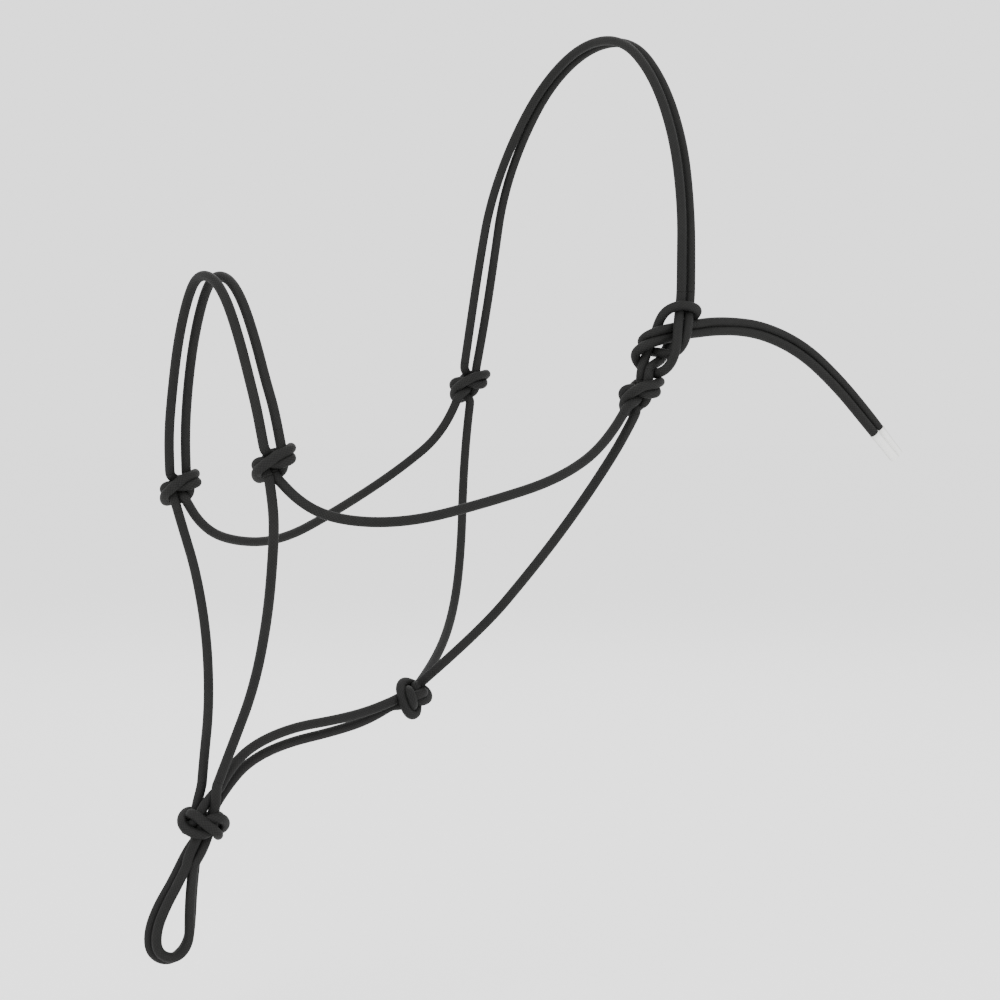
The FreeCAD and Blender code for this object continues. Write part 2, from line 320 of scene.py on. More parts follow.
# Each knot: how its ropes run through it and the side its face shows on. The loose knot is turned about the
# ropes and rolled in the plane of its face, then pulled tight, squeezed across and along the ropes, and
# settled. Reach is where the incoming ropes are cut off, core how much of the loose knot is kept, and entry
# the distance above or below the middle to which the ropes are led straight in.
band = Vector((towardCamera.x, towardCamera.y, 0)).normalized()
pairKnot = {"face": band, "reach": 0.016, "seed": "overhand", "core": 0.008, "steps": 40, "entry": 0.009}
knots = {
    "right_nose_knot": {**pairKnot, "down": (0, 0.05, -1), "turn": 255, "roll": -18,
                        "squeeze": (1.12, 0.80), "settle": 8},
    "left_nose_knot": {**pairKnot, "down": (0, 0.10, -1), "turn": 255, "roll": -20,
                       "squeeze": (1.10, 0.85), "settle": 8},
    "right_cheek_knot": {**pairKnot, "down": (0, -0.2, -1), "turn": 258, "roll": -26,
                         "squeeze": (1.08, 1.15), "settle": 6},
    "left_cheek_knot": {**pairKnot, "down": (0, -0.2, -1), "turn": 256, "roll": -22,
                        "squeeze": (0.98, 1.25), "settle": 6},
    "throat_knot": {"down": (0, -0.86, -0.5), "face": (1, 0, 0), "reach": 0.019, "seed": "arch",
                    "core": 0.010, "turn": 22, "roll": 20, "squeeze": (1.0, 1.0), "steps": 50,
                    "settle": 10, "entry": 0.011},
    "fiador_knot": {"down": (0, -0.15, -1), "face": band, "reach": 0.024, "seed": "fiador",
                    "core": 0.015, "turn": 20, "roll": 0, "squeeze": (1.05, 1.22), "steps": 45,
                    "settle": 8, "entry": 0.026},
}


def splineLine(points):
    # points along the quadratic NURBS curve of these control points
    curve = bpy.data.curves.new("line", "CURVE")
    curve.dimensions = "3D"
    spline = curve.splines.new("NURBS")
    spline.points.add(len(points) - 1)
    spline.points.foreach_set("co", np.c_[np.array(points), np.ones(len(points))].ravel())
    spline.order_u = 3
    spline.use_endpoint_u = True
    spline.resolution_u = 16
    holder = bpy.data.objects.new("line", curve)
    mesh = bpy.data.meshes.new_from_object(holder)
    line = np.zeros(len(mesh.vertices) * 3)
    mesh.vertices.foreach_get("co", line)
    bpy.data.objects.remove(holder)
    bpy.data.meshes.remove(mesh)
    bpy.data.curves.remove(curve)
    return line.reshape(-1, 3)


def arcLength(line):
    # the distance along the line at each of its points
    return np.r_[0.0, np.cumsum(np.linalg.norm(np.diff(line, axis=0), axis=1))]


def evenly(line, step):
    # the same line with its points about one step apart
    along = arcLength(line)
    count = max(int(round(along[-1] / step)), 4) + 1
    places = np.linspace(0.0, along[-1], count)
    return np.stack([np.interp(places, along, line[:, k]) for k in range(3)], axis=1)


# Ropes that push each other: how many times in a step, how strongly, how much crowding weakens it, the
# distance along itself, in diameters, at which a rope counts as another, and how often points are spaced again
pushing = {"rounds": 3, "strength": 0.5, "crowding": 0.6, "ownReach": 1.45, "respace": 20, "least": 1e-9}


def pushedApart(points, apart, gap, free):
    # Moves any two points of rope that are nearer than gap away from each other. Each goes by the missing
    # distance times the strength, divided by crowding times how many points touch it, or by one.
    for _ in range(pushing["rounds"]):
        between = points[:, None, :] - points[None, :, :]
        distance = np.sqrt((between ** 2).sum(2)) + pushing["least"]
        touching = apart & (distance < gap)
        push = np.where(touching, (gap - distance) / distance, 0.0)
        crowd = np.maximum(touching.sum(1), 1)[:, None] * pushing["crowding"]
        points = points + free * pushing["strength"] * (push[:, :, None] * between).sum(1) \
            / np.maximum(crowd, 1.0)
    return points


def tighten(passes, steps, pull, gap, pinned=2):
    # Pulls ropes tight against each other. Every step draws each point towards its neighbours' middle,
    # then pushes any two points of rope apart that are nearer than gap, and spaces the points again now and then.
    step = rope["workStep"]
    for turn in range(steps):
        if turn % pushing["respace"] == 0:
            passes = [np.vstack([p[:pinned], evenly(p[pinned - 1:len(p) - pinned + 1], step)[1:-1],
                                 p[len(p) - pinned:]]) for p in passes]
            counts = [len(p) for p in passes]
            owner = np.repeat(np.arange(len(passes)), counts)
            place = np.concatenate([np.arange(n) for n in counts])
            apart = (owner[:, None] != owner[None, :]) | \
                (np.abs(place[:, None] - place[None, :]) * step
                 > pushing["ownReach"] * rope["diameter"])
            free = np.concatenate([(np.minimum(np.arange(n), n - 1 - np.arange(n)) >= pinned)
                                   for n in counts]).astype(float)[:, None]
            edges = np.cumsum([0] + counts)
        points = np.vstack(passes)
        drawn = np.zeros_like(points)
        drawn[1:-1] = points[:-2] + points[2:] - 2 * points[1:-1]
        points = points + free * pull * drawn
        points = pushedApart(points, apart, gap, free)
        passes = [points[a:b] for a, b in zip(edges[:-1], edges[1:])]
    return passes


# The loose overhand knot: its size, its depth as a share of that, half the distance between its ropes, the
# height of its ends, how far they lead on, and the angle that is cut open at its top
loose = {"size": 0.0055, "depth": 0.9, "half": 0.0032, "high": 0.020, "lead": 0.004, "open": 0.62,
         "points": 160}


def overhandSeed():
    # Two ropes side by side along a trefoil, sin t + 2 sin 2t across cos t - 2 cos 2t, cut open at its top:
    # the loosely tied doubled overhand knot. Local X is to the right, Y up the ropes, Z out of the knot's face.
    t = np.linspace(math.pi + loose["open"], 3 * math.pi - loose["open"], loose["points"])
    middle = loose["size"] * np.stack([np.cos(t) - 2 * np.cos(2 * t), np.sin(t) + 2 * np.sin(2 * t),
                                       -loose["depth"] * np.sin(3 * t)], axis=1)
    tangent = np.gradient(middle, axis=0)
    beside = np.cross(tangent, (0.0, 0.0, 1.0))
    beside /= np.linalg.norm(beside, axis=1)[:, None]
    ropes = []
    for side in (-1, 1):
        x, high = side * loose["half"], loose["high"]
        ends = np.array([(x, high + loose["lead"], 0), (x, high, 0)])
        ropes.append(np.vstack([ends, middle + x * beside, ends[::-1] * (1, -1, 1)]))
    return tighten(ropes, steps=420, pull=0.35, gap=0.9 * rope["diameter"])


def fiadorSeed():
    # Four ropes: each comes up the core, crowns over its neighbour, turns down the outside past the next
    # rope, tucks in below and leaves up the middle. Rows are radius, turn in degrees and height, in mm.
    rows = np.array([
        (6, 0, -34), (6, 0, -28), (7, 0, -14), (8, 0, 0), (8, 5, 13), (12, 30, 19), (18, 65, 15),
        (21, 105, 6), (21, 150, -3), (20, 195, -11), (15, 230, -17), (9, 250, -14), (6, 255, -6),
        (4, 255, 4), (4.5, 260, 16), (5, 270, 28), (5, 270, 34)], float)
    ropes = []
    for quarter in range(4):
        turn = np.radians(rows[:, 1] + 90 * quarter)
        line = np.stack([rows[:, 0] * np.cos(turn), -rows[:, 2], rows[:, 0] * np.sin(turn)], axis=1) / 1000
        ropes.append(evenly(line, rope["workStep"]))
    return tighten(ropes, steps=40, pull=0.3, gap=0.95 * rope["diameter"])


def turned(line, knot):
    # about the ropes, then in the plane of the face
    x, y, z = line.T
    turn, roll = math.radians(knot["turn"]), math.radians(knot["roll"])
    x, z = x * math.cos(turn) - z * math.sin(turn), x * math.sin(turn) + z * math.cos(turn)
    x = x * mirrored[knot["seed"]]
    x, y = x * math.cos(roll) - y * math.sin(roll), x * math.sin(roll) + y * math.cos(roll)
    return np.stack([x, y, z], axis=1)


def knotCentre(name):
    # the middle of the box of the knot's CAD node
    return np.array(sum((Vector(corner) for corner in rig.box(name)), Vector()) / 2)


def knotAxes(knot):
    # rows: to the right across the face, up the ropes, out of the face
    up = -Vector(knot["down"]).normalized()
    right = up.cross(Vector(knot["face"])).normalized()
    return np.array([right, up, right.cross(up)])


def ledIn(pair, entry, leastSlope=0.4):
    # runs an incoming rope straight on until it is the entry distance above or below the knot's middle;
    # a rope that comes in flatter than the least slope is led on as if it had that slope
    onward = (pair[1] - pair[0]) / np.linalg.norm(pair[1] - pair[0])
    far = max(abs(pair[1][1]) - entry, 0) / max(abs(onward[1]), leastSlope)
    inner = pair[1] + onward * far
    return np.array([inner - onward * rope["workStep"], inner])


def tieKnot(name, knot, passes):
    # Sets the loose seed at the knot's place, joins it to the ropes that come in and pulls it tight there.
    # It is pulled tight in a space divided by the squeeze, then brought back to size, then settled.
    # Each pass is (its two points above the knot, its two points below), in the order they are followed.
    centre, axes = knotCentre(name), knotAxes(knot)
    squeeze = np.array((*knot["squeeze"], 1.0))
    seed = [turned(line, knot) for line in seeds[knot["seed"]]]

    def localLead(pair):
        return ledIn(((pair - centre) @ axes.T) / squeeze, knot["entry"])

    passes = [(localLead(top), localLead(bottom[::-1])[::-1]) for top, bottom in passes]

    def cost(order):
        return sum(np.linalg.norm(seed[k][0] - top[-1]) + np.linalg.norm(seed[k][-1] - bottom[0])
                   for k, (top, bottom) in zip(order, passes))

    order = min(itertools.permutations(range(len(seed))), key=cost)
    ropes = []
    for k, (top, bottom) in zip(order, passes):
        near = np.abs(seed[k][:, 1]) < knot["core"]
        first, last = np.flatnonzero(near)[[0, -1]]
        ropes.append(np.vstack([top, seed[k][first:last + 1], bottom]))
    ropes = tighten(ropes, knot["steps"], pull=0.3, gap=0.94 * rope["diameter"])
    ropes = [centre + (line * squeeze) @ axes for line in ropes]
    return tighten(ropes, knot["settle"], pull=0.15, gap=0.90 * rope["diameter"])


print("tying the loose knots")
overhand = overhandSeed()
seeds = {"overhand": overhand, "arch": overhand, "fiador": fiadorSeed()}
mirrored = {"overhand": -1, "arch": 1, "fiador": 1}


def trimmed(line, way, before, after):
    # the stretch in the direction it is followed, without what lies inside the knots at its ends
    line = evenly(line[::way], rope["trimStep"])
    for knotName in (before, after):
        if knotName in knots:
            centre = knotCentre(knotName)
            outside = np.linalg.norm(line - centre, axis=1) > knots[knotName]["reach"]
            first, last = np.flatnonzero(outside)[[0, -1]]
            line = line[first:last + 1]
    return line


def followRope(lead=5):
    # Every stretch and every pass through a knot, in order, as (CAD node, points). A rope's direction at a
    # knot is read over the lead, in points.
    stops = [None] + ropeWay + [None]
    stretches = [None if isinstance(stop, str) else
                 (stop[0], trimmed(splineLine(routes[stop[0]]), stop[1], before, after))
                 for before, stop, after in zip(stops, ropeWay, stops[2:])]
    for name, knot in knots.items():
        centre = knotCentre(name)
        down = np.array(knot["down"])
        where = [k for k, stop in enumerate(ropeWay) if stop == name]
        passes = []
        for k in where:
            arriving, leaving = stretches[k - 1][1][[-1 - lead, -1]], stretches[k + 1][1][[0, lead]]
            rising = (arriving[-1] - centre) @ down > 0
            passes.append((leaving[::-1], arriving[::-1]) if rising else (arriving, leaving))
        for k, (top, bottom), line in zip(where, passes, tieKnot(name, knot, passes)):
            before = stretches[k - 1][1][-1]
            falling = np.linalg.norm(line[0] - before) < np.linalg.norm(line[-1] - before)
            stretches[k] = (name, line if falling else line[::-1])
        print("tied", name)
    return stretches


# The tie: where it is, how far it reaches, over what distance its hold fades out, and how its ropes are eased
tie = {"centre": (0.109, -0.025, -0.210), "reach": 0.048, "fade": 0.010, "steps": 40, "pull": 0.10,
       "ownReach": 1.5, "gap": 0.97}


def easeApart(line, tie):
    # where ropes lie across each other in the tie, pushes them apart to the gap and smooths them a little
    centre, reach = np.array(tie["centre"]), tie["reach"]
    near = np.linalg.norm(line - centre, axis=1) < reach
    index = np.flatnonzero(near)
    apart = np.abs(index[:, None] - index[None, :]) * rope["workStep"] > tie["ownReach"] * rope["diameter"]
    hold = np.clip((reach - np.linalg.norm(line[index] - centre, axis=1)) / tie["fade"], 0, 1)[:, None]
    for _ in range(tie["steps"]):
        points = line[index]
        drawn = line[index - 1] + line[index + 1] - 2 * points
        points = points + hold * tie["pull"] * drawn
        line[index] = pushedApart(points, apart, tie["gap"] * rope["diameter"], hold)
    return line


print("following the rope from tip to tip")
stretches = followRope()
wholeLine = np.vstack([line for _, line in stretches])
starts = arcLength(wholeLine)[np.cumsum([0] + [len(line) for _, line in stretches[:-1]])]
lengthwise = easeApart(evenly(wholeLine, rope["workStep"]), tie)


def smoothed(line, turns):
    # each point drawn halfway to its neighbours' middle, some number of times; the ends stay
    line = line.copy()
    for _ in range(turns):
        line[1:-1] += 0.5 * ((line[:-2] + line[2:]) / 2 - line[1:-1])
    return line


def carriedFrames(line):
    # a normal carried along the line without twist: each is the last one with its part along the line taken out
    tangent = np.gradient(line, axis=0)
    tangent /= np.linalg.norm(tangent, axis=1)[:, None]
    normal = np.zeros_like(line)
    last = np.cross(tangent[0], (1.0, 0.0, 0.0))
    for k, along in enumerate(tangent):
        last = last - along * (last @ along)
        last = last / np.linalg.norm(last)
        normal[k] = last
    return normal, np.cross(tangent, normal)


# centres of the rope's rings, and which stretch each one belongs to
share = arcLength(wholeLine)[-1]
centres = smoothed(evenly(lengthwise, rope["step"]), rope["ease"])
along = arcLength(centres)
stretchOf = np.searchsorted(starts / share, np.linspace(0, 1, len(centres)), side="right") - 1
normals, binormals = carriedFrames(centres)
print("rope length %.2f m in %d rings" % (along[-1], len(centres)))


def braidHeight(a, b):
    # A plain braid: yarns along a and along b take turns on top. Across a yarn the height is the root of one
    # minus the square of domeWidth times the place, and along it the cosine of runBow times pi times the place.
    acrossA, acrossB = a - np.floor(a) - 0.5, b - np.floor(b) - 0.5
    odd = np.mod(np.floor(a) + np.floor(b), 2)
    across = np.where(odd > 0, acrossB, acrossA)
    runs = np.where(odd > 0, acrossA, acrossB)
    return np.sqrt(np.clip(1 - (rope["domeWidth"] * across) ** 2, 0, 1)) * np.cos(math.pi * rope["runBow"] * runs)


def wrapped(around, lengths):
    # The faces of a tube of rings, one after another, and then its first and last centre: quads between the
    # rings, cap triangles to the centres, and the UV of every corner (turns round, length along).
    rows = len(lengths)
    row, column = np.meshgrid(np.arange(rows - 1), np.arange(around), indexing="ij")
    beside = (column + 1) % around
    quads = np.stack([row * around + column, row * around + beside,
                      (row + 1) * around + beside, (row + 1) * around + column], axis=-1).reshape(-1, 4)
    u0, u1 = column / around, (column + 1) / around
    v0, v1 = lengths[row], lengths[row + 1]
    corners = np.stack([np.stack([u0, v0], -1), np.stack([u1, v0], -1),
                        np.stack([u1, v1], -1), np.stack([u0, v1], -1)], axis=2).reshape(-1, 2)
    column = np.arange(around)
    beside = (column + 1) % around
    centre = rows * around
    lastRing = centre - around
    caps = np.vstack([np.stack([beside, column, np.full(around, centre)], 1),
                      np.stack([lastRing + column, lastRing + beside, np.full(around, centre + 1)], 1)])
    capCorners = np.repeat([(0.5, lengths[0]), (0.5, lengths[-1])], around * 3, axis=0)
    return quads, caps, np.vstack([corners, capCorners])


def tube(first, last):
    # Rings of the rope from one centre to another: radius plus the braid's relief, round the carried frame.
    # Returns vertices, quads, cap triangles and the UV of every corner (turns round, metres along).
    ring = np.arange(rope["around"]) / rope["around"]
    turn = 2 * math.pi * ring
    index = np.arange(first, last + 1)
    a = ring[None, :] * rope["crossings"] + along[index, None] / rope["braidCell"]
    b = ring[None, :] * rope["crossings"] - along[index, None] / rope["braidCell"]
    relief = rope["braidRelief"] * (braidHeight(a, b) - rope["reliefMiddle"])
    radius = rope["fullness"] * rope["diameter"] / 2 + relief
    outward = normals[index, None, :] * np.cos(turn)[None, :, None] \
        + binormals[index, None, :] * np.sin(turn)[None, :, None]
    points = (centres[index, None, :] + radius[:, :, None] * outward).reshape(-1, 3)
    points = np.vstack([points, centres[first], centres[last]])
    return (points, *wrapped(rope["around"], along[index]))


def meshPiece(name, points, quads, triangles, corners, material):
    # one closed mesh object at the origin, smooth, with its UV map
    mesh = bpy.data.meshes.new(name)
    loops = np.concatenate([quads.ravel(), triangles.ravel()]).astype(np.int32)
    sizes = np.concatenate([np.full(len(quads), 4), np.full(len(triangles), 3)])
    mesh.vertices.add(len(points))
    mesh.vertices.foreach_set("co", points.astype(np.float32).ravel())
    mesh.loops.add(len(loops))
    mesh.loops.foreach_set("vertex_index", loops)
    mesh.polygons.add(len(sizes))
    mesh.polygons.foreach_set("loop_start", np.r_[0, np.cumsum(sizes)[:-1]].astype(np.int32))
    mesh.polygons.foreach_set("use_smooth", np.ones(len(sizes), bool))
    mesh.uv_layers.new(name="lay").data.foreach_set("uv", corners.astype(np.float32).ravel())
    mesh.update(calc_edges=True)
    mesh.validate()
    mesh.materials.append(material)
    piece = bpy.data.objects.new(name, mesh)
    bpy.context.scene.collection.objects.link(piece)
    return piece


def joined(tubes):
    # several tubes as one set of arrays: quads first, then the caps, with their corners in the same order
    offsets = np.cumsum([0] + [len(t[0]) for t in tubes[:-1]])
    quads = np.vstack([t[1] + offset for t, offset in zip(tubes, offsets)])
    caps = np.vstack([t[2] + offset for t, offset in zip(tubes, offsets)])
    corners = np.vstack([t[3][:len(t[1]) * 4] for t in tubes] + [t[3][len(t[1]) * 4:] for t in tubes])
    return np.vstack([t[0] for t in tubes]), quads, caps, corners


def nodeTree(group):
    # makes nodes and links in a tree: each call gives an output to use as the next one's input
    def put(kind, inputs=(), output=0, **settings):
        node = group.nodes.new(kind)
        for key, value in settings.items():
            setattr(node, key, value)
        for key, value in dict(inputs).items():
            if isinstance(value, bpy.types.NodeSocket):
                group.links.new(value, node.inputs[key])
            else:
                node.inputs[key].default_value = value
        return node.outputs[output]

    def calc(operation, *values):
        return put("ShaderNodeMath", dict(enumerate(values)), operation=operation)
    return put, calc


# The rope's look: colours of the yarns, of the painted shade between them and where they have faded, its bump and
# gloss; then the filaments in a yarn, the faded stretches, how height paints light and shade on a yarn and chance
# lightens it, and its roughness
ropeFinish = {"Yarn": (0.0105, 0.0105, 0.0101, 1), "Shade": (0.0035, 0.0035, 0.0034, 1),
              "Faded": (0.0165, 0.0165, 0.0157, 1), "bump": 0.45, "relief": 0.00018, "specular": 0.12,
              "filamentAcross": 16.0, "filamentAlong": 2.2, "filamentDetail": 2.0, "filamentHeight": 0.35,
              "yarnShiftA": 3.7, "yarnShiftB": 5.3, "fadedScale": 26.0, "fadedDetail": 3.0,
              "fadedFrom": 0.45, "fadedEase": 0.1, "fadedAmount": 1.6, "paintedShadeMix": 0.12, "paintedShadeByHeight": 0.75,
              "liftChance": 0.22, "roughness": 0.78, "roughHeight": 0.16}


def braidGroup(finish):
    # The braid's pattern from its UV: height is the same formula as braidHeight, with fine filaments in
    # each yarn.
    group = bpy.data.node_groups.new("braidedCover", "ShaderNodeTree")
    for name, kind in (("Crossings", "NodeSocketFloat"), ("Cell", "NodeSocketFloat"),
                       ("Yarn", "NodeSocketColor"), ("Shade", "NodeSocketColor"), ("Faded", "NodeSocketColor")):
        group.interface.new_socket(name, in_out="INPUT", socket_type=kind)
    for name, kind in (("Color", "NodeSocketColor"), ("Roughness", "NodeSocketFloat"),
                       ("Height", "NodeSocketFloat")):
        group.interface.new_socket(name, in_out="OUTPUT", socket_type=kind)
    put, calc = nodeTree(group)
    given = group.nodes.new("NodeGroupInput").outputs
    uv = group.nodes.new("ShaderNodeUVMap")
    uv.uv_map = "lay"
    split = group.nodes.new("ShaderNodeSeparateXYZ")
    group.links.new(uv.outputs[0], split.inputs[0])
    turns = calc("MULTIPLY", split.outputs[0], given["Crossings"])
    cells = calc("DIVIDE", split.outputs[1], given["Cell"])
    a, b = calc("ADD", turns, cells), calc("SUBTRACT", turns, cells)
    floorA, floorB = calc("FLOOR", a), calc("FLOOR", b)
    acrossA = calc("SUBTRACT", calc("SUBTRACT", a, floorA), 0.5)
    acrossB = calc("SUBTRACT", calc("SUBTRACT", b, floorB), 0.5)
    odd = calc("FLOORED_MODULO", calc("ADD", floorA, floorB), 2.0)
    gap = calc("SUBTRACT", acrossB, acrossA)
    across = calc("ADD", acrossA, calc("MULTIPLY", gap, odd))
    runs = calc("SUBTRACT", acrossB, calc("MULTIPLY", gap, odd))
    wide = calc("MULTIPLY", across, rope["domeWidth"])
    dome = calc("SQRT", calc("MAXIMUM", calc("SUBTRACT", 1.0, calc("MULTIPLY", wide, wide)), 0.0))
    height = calc("MULTIPLY", dome, calc("COSINE", calc("MULTIPLY", runs, math.pi * rope["runBow"])))
    # filaments: noise stretched along the yarn, shifted from yarn to yarn
    yarn = calc("ADD", calc("MULTIPLY", floorA, finish["yarnShiftA"]),
                calc("MULTIPLY", floorB, finish["yarnShiftB"]))
    way = put("ShaderNodeCombineXYZ", {0: calc("MULTIPLY", across, finish["filamentAcross"]),
                                       1: calc("MULTIPLY", runs, finish["filamentAlong"]), 2: yarn})
    filament = put("ShaderNodeTexNoise", {"Vector": way, "Scale": 1.0, "Detail": finish["filamentDetail"]})
    fine = calc("MULTIPLY", calc("SUBTRACT", filament, 0.5), finish["filamentHeight"])
    raised = calc("ADD", height, fine)
    # colour: painted shade, darkest between the yarns and lighter towards each yarn's top, each yarn a little lighter
    # or darker at random, and broad faded stretches
    tone = put("ShaderNodeTexWhiteNoise", {"Vector": put("ShaderNodeCombineXYZ", {0: floorA, 1: floorB})},
               noise_dimensions="3D")
    broad = put("ShaderNodeTexNoise", {"Vector": put("ShaderNodeTexCoord", output=3),
                                       "Scale": finish["fadedScale"], "Detail": finish["fadedDetail"]})
    past = calc("SMOOTH_MAX", calc("SUBTRACT", broad, finish["fadedFrom"]), 0.0, finish["fadedEase"])
    worn = calc("MULTIPLY", past, finish["fadedAmount"])
    cover = put("ShaderNodeMix", {0: worn, 6: given["Yarn"], 7: given["Faded"]}, output=2,
                data_type="RGBA")
    # painted shade: the colour goes from the yarn colour towards Shade as the braid's height falls, darkest between
    # the yarns; chance adds a random tone to each yarn
    chance = calc("ADD", finish["paintedShadeMix"], calc("MULTIPLY", tone, finish["liftChance"]))
    paintedShadeMix = calc("ADD", calc("MULTIPLY", raised, finish["paintedShadeByHeight"]), chance)
    colour = put("ShaderNodeMix", {0: paintedShadeMix, 6: given["Shade"], 7: cover}, output=2, data_type="RGBA")
    rough = calc("SUBTRACT", finish["roughness"], calc("MULTIPLY", raised, finish["roughHeight"]))
    out = group.nodes.new("NodeGroupOutput")
    for socket, value in zip(out.inputs, (colour, rough, raised)):
        group.links.new(value, socket)
    return group


def ropeMaterial(finish):
    # the braid's pattern as the colour, roughness and bump of one material
    material = bpy.data.materials.new("braidedRope")
    material.use_nodes = True
    tree = material.node_tree
    shader = tree.nodes["Principled BSDF"]
    cover = tree.nodes.new("ShaderNodeGroup")
    cover.node_tree = braidGroup(finish)
    cover.inputs["Crossings"].default_value = rope["crossings"]
    cover.inputs["Cell"].default_value = rope["braidCell"]
    for name in ("Yarn", "Shade", "Faded"):
        cover.inputs[name].default_value = finish[name]
    bump = tree.nodes.new("ShaderNodeBump")
    bump.inputs["Strength"].default_value = finish["bump"]
    bump.inputs["Distance"].default_value = finish["relief"]
    tree.links.new(cover.outputs["Height"], bump.inputs["Height"])
    tree.links.new(cover.outputs["Color"], shader.inputs["Base Color"])
    tree.links.new(cover.outputs["Roughness"], shader.inputs["Roughness"])
    tree.links.new(bump.outputs[0], shader.inputs["Normal"])
    shader.inputs["Specular IOR Level"].default_value = finish["specular"]
    return material


charcoal = ropeMaterial(ropeFinish)

# Where a stretch crosses a joint it bends from one body to the other, between two places on a line through
# the joint's pivot, at these distances from it
noseUp = np.cross((0.0, -1.0, 0.0), np.array(joints["noseband_tilt"]["axis"]))
noseUp = noseUp * np.sign(noseUp[2])
up, backwards = np.array((0.0, 0.0, 1.0)), np.array((0.0, 1.0, 0.0))


def bendAbout(joint, still, moved, way, start, end):
    # the two bodies and the two places: the pivot plus each distance times the way
    pivot = np.array(joints[joint]["pos_m"])
    return still, moved, pivot + start * way, pivot + end * way


bends = {
    "crown": bendAbout("crown_tilt", "headstall", "crown", up, 0.006, 0.042),
    "noseband": bendAbout("noseband_tilt", "headstall", "noseband", noseUp, 0.006, 0.072),
    "lead_loop": bendAbout("lead_loop_swing", "headstall", "lead_loop", up, -0.003, -0.034),
    "tails": bendAbout("tails_swing", "crown", "tails", backwards, -0.004, 0.052),
}


def bendOf(node):
    # the crown's strands and eye start on the headstall's knots, and its tie stays on the crown
    if node in ("front_tie_strand", "rear_tie_strand"):
        return None
    return bends.get(bodyOf[node])


def addStretch(node, first, last):
    # one stretch of rope, bent across its joint or riding on its body
    piece = meshPiece(node + "_rope", *tube(first, last), charcoal)
    if bendOf(node):
        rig.blend(piece, *bendOf(node))
    else:
        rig.ride(piece, bodyOf[node])
    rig.replaces(piece, node)
    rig.slot(piece, "rope")
    return piece


pieces = {}
endsOf = {}
for k, (node, _) in enumerate(stretches):
    rings = np.flatnonzero(stretchOf == k)
    endsOf.setdefault(node, []).append((rings[0], min(rings[-1] + 1, len(centres) - 1)))
for node, ends in endsOf.items():
    if node not in knots:
        pieces[node] = addStretch(node, *ends[0])
        continue
    piece = meshPiece(node + "_rope", *joined([tube(*pair) for pair in ends]), charcoal)
    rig.ride(piece, bodyOf[node])
    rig.replaces(piece, node)
    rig.slot(piece, "rope")
print("rope meshes:", len(endsOf))

# White sleeves shrunk over the two ends, each reaching back over the rope a little. The end closes from
# endFrom on; lip and waist are shares of the radius.
sleeve = {"length": 0.025, "radius": 0.0036, "over": 0.0012, "around": 64, "steps": 60, "ribs": 9,
          "ribDepth": 0.00007, "endFrom": 0.90, "endLength": 0.10, "lipBase": 0.955, "lipDepth": 0.045,
          "lipLength": 0.05, "waistDepth": 0.035, "waistStretch": 1.15}


def addSleeve(node, start, direction, material):
    # A turned profile: a rolled lip, a slight waist and a rounded end, with shallow ribs along it.
    # Radius = (lip * waist + ribs that fade at both ends) * sqrt(1 - end^3).
    t = np.linspace(0, 1, sleeve["steps"])
    turn = 2 * math.pi * np.arange(sleeve["around"]) / sleeve["around"]
    end = np.clip((t - sleeve["endFrom"]) / sleeve["endLength"], 0, 1)
    closing = np.sqrt(np.clip(1 - end ** 3, 0, 1))
    rolled = np.clip(t / sleeve["lipLength"], 0, 1) * math.pi / 2 - math.pi / 4
    lip = sleeve["lipBase"] + sleeve["lipDepth"] * np.cos(rolled) / math.cos(math.pi / 4)
    waist = 1 - sleeve["waistDepth"] * np.sin(math.pi * np.clip(t * sleeve["waistStretch"], 0, 1)) ** 2
    radius = (sleeve["radius"] * lip * waist)[:, None] \
        + sleeve["ribDepth"] * np.cos(sleeve["ribs"] * turn)[None, :] * np.sin(math.pi * t)[:, None]
    radius = radius * closing[:, None]
    axis = direction / np.linalg.norm(direction)
    side = np.cross(axis, (1.0, 0.0, 0.0))
    side /= np.linalg.norm(side)
    other = np.cross(axis, side)
    length = sleeve["length"] + sleeve["over"]
    centre = start - axis * sleeve["over"] + np.outer(t * length, axis)
    points = centre[:, None, :] + radius[:, :, None] * (np.cos(turn)[None, :, None] * side
                                                        + np.sin(turn)[None, :, None] * other)
    points = np.vstack([points.reshape(-1, 3), centre[0], centre[-1]])
    piece = meshPiece(node + "_sleeve", points, *wrapped(sleeve["around"], t), material)
    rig.ride(piece, bodyOf[node])
    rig.replaces(piece, node)
    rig.slot(piece, "tip_sleeve")
    return piece


# Its look: grey in a few lines along it and in a fine mottling, and painted shade towards its lip where it lies over
# the rope
sleeveFinish = {"plastic": (0.80, 0.80, 0.78, 1), "greyAndShade": (0.42, 0.42, 0.40, 1), "roughness": 0.30,
                "roughMottle": 0.12, "coat": 0.25, "bump": 0.3, "relief": 0.00008, "mottleScale": 420.0,
                "mottleDetail": 4.0, "mottle": 0.5, "lines": 3, "lineSharpness": 24.0, "lineGrey": 0.55,
                "lipSharpness": 10.0, "lipPaintedShade": 0.35, "grey": 0.12}


